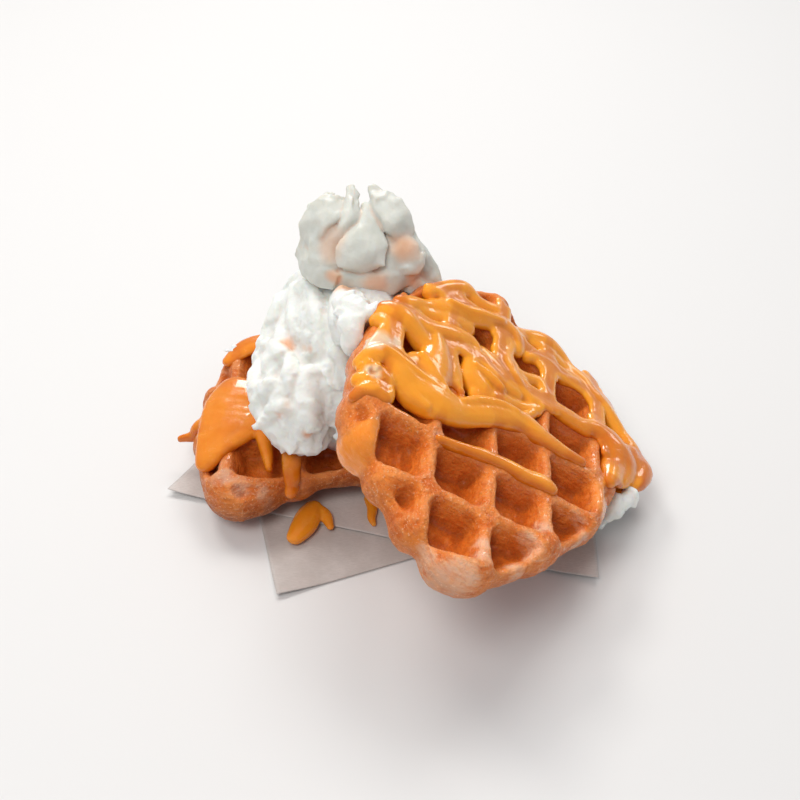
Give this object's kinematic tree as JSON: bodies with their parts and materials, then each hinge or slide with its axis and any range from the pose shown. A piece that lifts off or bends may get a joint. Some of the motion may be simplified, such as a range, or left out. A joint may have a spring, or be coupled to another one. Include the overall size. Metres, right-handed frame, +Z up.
{
  "type": "croffle",
  "caption": "Waffled croissant dough leaning on whipped cream, with a fluted swirl of cream on top and thick caramel sauce poured over, on baking paper.",
  "frame": {"origin": "on the ground under the middle of the serving's bounding box", "axes": "+X to the right as the serving is looked at, its longest side; -Y towards the viewer; +Z up"},
  "size_m": [0.1556, 0.147, 0.0904],
  "materials": {
    "dough": "baked golden-brown crust, slightly glossy where it is brushed with sugar",
    "sauce": "thick glossy caramel",
    "cream": "soft white whipped cream",
    "paper": "matt greyish baking paper"
  },
  "bodies": {
    "root": {"croffle_left": "dough", "croffle_right": "dough", "cream_mound": "cream", "cream_rosette": "cream", "cream_filling": "cream", "paper_under": "paper", "paper_over": "paper"}
  },
  "joints": []
}
